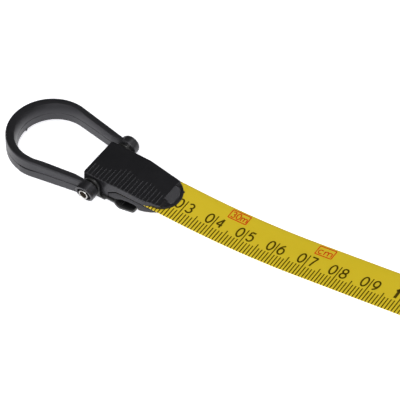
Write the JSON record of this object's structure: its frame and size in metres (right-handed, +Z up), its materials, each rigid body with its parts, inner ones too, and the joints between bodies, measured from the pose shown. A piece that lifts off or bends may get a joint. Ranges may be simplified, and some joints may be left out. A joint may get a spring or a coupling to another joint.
{
  "type": "tape measure",
  "caption": "Closed-case long tape measure: yellow graduated blade drawn out to its clamped end with hinged pull ring and folding claw, blade drum, folding crank.",
  "frame": {"origin": "on the standing face of the base pad, under the drum's axis", "axes": "+X along the blade from the pull ring towards the case, +Z up, crank on the -Y side"},
  "size_m": [0.3048, 0.0305, 0.1328],
  "materials": {
    "blade_yellow": "mustard yellow coated steel with dark print",
    "cover_black": "fine matt moulded black",
    "ring_black": "satin moulded black",
    "claw_black": "black coated sheet",
    "pin_steel": "bright turned tube",
    "case_black": "fine grained moulded black",
    "grip_rubber": "matt ribbed rubber",
    "drum_plastic": "moulded dark grey",
    "crank_plastic": "moulded charcoal",
    "bearing_plastic": "natural bearing plastic",
    "steel": "zinc plated",
    "felt": "pressed felt"
  },
  "bodies": {
    "case": {"case_front": "case_black", "case_back": "case_black", "case_screws": "steel", "grip_band": "grip_rubber", "mouth_liner": "cover_black", "wiper_pads": "felt", "bush_front": "bearing_plastic", "axle": "steel", "base_pad": "grip_rubber"},
    "drum": {"drum_core": "drum_plastic", "drum_flange_front": "drum_plastic", "drum_flange_back": "drum_plastic", "tape_pack": "blade_yellow", "blade_anchor": "steel", "axle_bush": "bearing_plastic", "crank_plate": "crank_plastic", "crank_plate_screws": "steel", "crank_pin": "steel"},
    "crank": {"crank_arm": "crank_plastic", "knob_stud": "steel"},
    "knob": {"crank_knob": "cover_black"},
    "blade": {"blade": "blade_yellow", "end_cover_top": "cover_black", "end_cover_bottom": "cover_black", "cover_rivets": "steel", "hinge_pin": "pin_steel"},
    "ring": {"pull_ring": "ring_black"},
    "claw": {"end_claw": "claw_black"}
  },
  "joints": [
    {"name": "drum_spin", "type": "hinge", "parent": "case", "child": "drum", "pos_m": [0, 0, 0.07009], "axis": [0, 1, 0], "range_deg": [-25.6, 32]},
    {"name": "blade_pull", "type": "slide", "parent": "case", "child": "blade", "axis": [-1, 0, 0], "range_m": [-0.024, 0.03]},
    {"name": "ring_hinge", "type": "hinge", "parent": "blade", "child": "ring", "pos_m": [-0.20924, 0, 0.0044], "axis": [0, 1, 0], "range_deg": [-160, 160]},
    {"name": "claw_hinge", "type": "hinge", "parent": "blade", "child": "claw", "pos_m": [-0.20924, 0, 0.0044], "axis": [0, 1, 0], "range_deg": [0, 90]},
    {"name": "crank_fold", "type": "hinge", "parent": "drum", "child": "crank", "pos_m": [0.017, -0.0156, 0.07009], "axis": [0, 0, 1], "range_deg": [0, 180]},
    {"name": "knob_spin", "type": "hinge", "parent": "crank", "child": "knob", "pos_m": [-0.0121, -0.01, 0.07009], "axis": [0, 1, 0], "continuous": true}
  ],
  "couplings": [
    {"joint": "blade_pull", "follows": "drum_spin", "m_per_rad": 0.053585}
  ]
}
